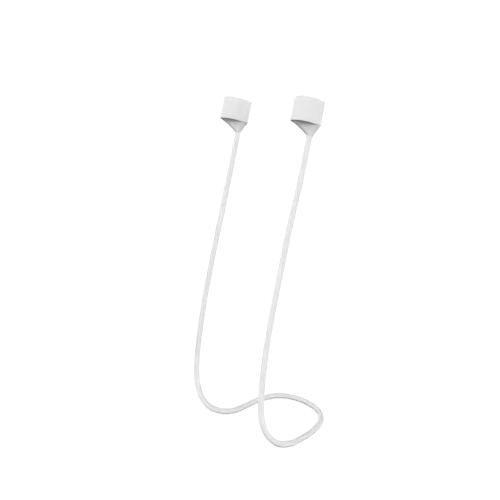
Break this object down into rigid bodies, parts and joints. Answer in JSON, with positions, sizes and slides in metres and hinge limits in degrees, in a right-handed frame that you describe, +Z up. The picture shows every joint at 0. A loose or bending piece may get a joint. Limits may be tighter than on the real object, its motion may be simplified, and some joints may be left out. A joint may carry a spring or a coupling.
{
  "type": "earbud neck strap",
  "caption": "Soft neck strap that keeps a pair of wireless earbuds together: a thin round cord with a cup-shaped sleeve on each end that slips over an earbud stem.",
  "frame": {"origin": "the middle of the left sleeve's mouth, level with its rim, where the stem of the left earbud goes in and holds the strap up", "axes": "+Z up out of the sleeves' mouths, +X along the left sleeve from its wide side to its neck side, +Y away from the right sleeve"},
  "size_m": [0.0593, 0.0441, 0.1111],
  "materials": {
    "sleeve_silicone": "matte, softly translucent",
    "neck_silicone": "matte, softly translucent",
    "cord_silicone": "satin"
  },
  "bodies": {
    "root": {"left_sleeve": "sleeve_silicone", "right_sleeve": "sleeve_silicone", "left_neck": "neck_silicone", "right_neck": "neck_silicone", "cord": "cord_silicone"}
  },
  "joints": []
}
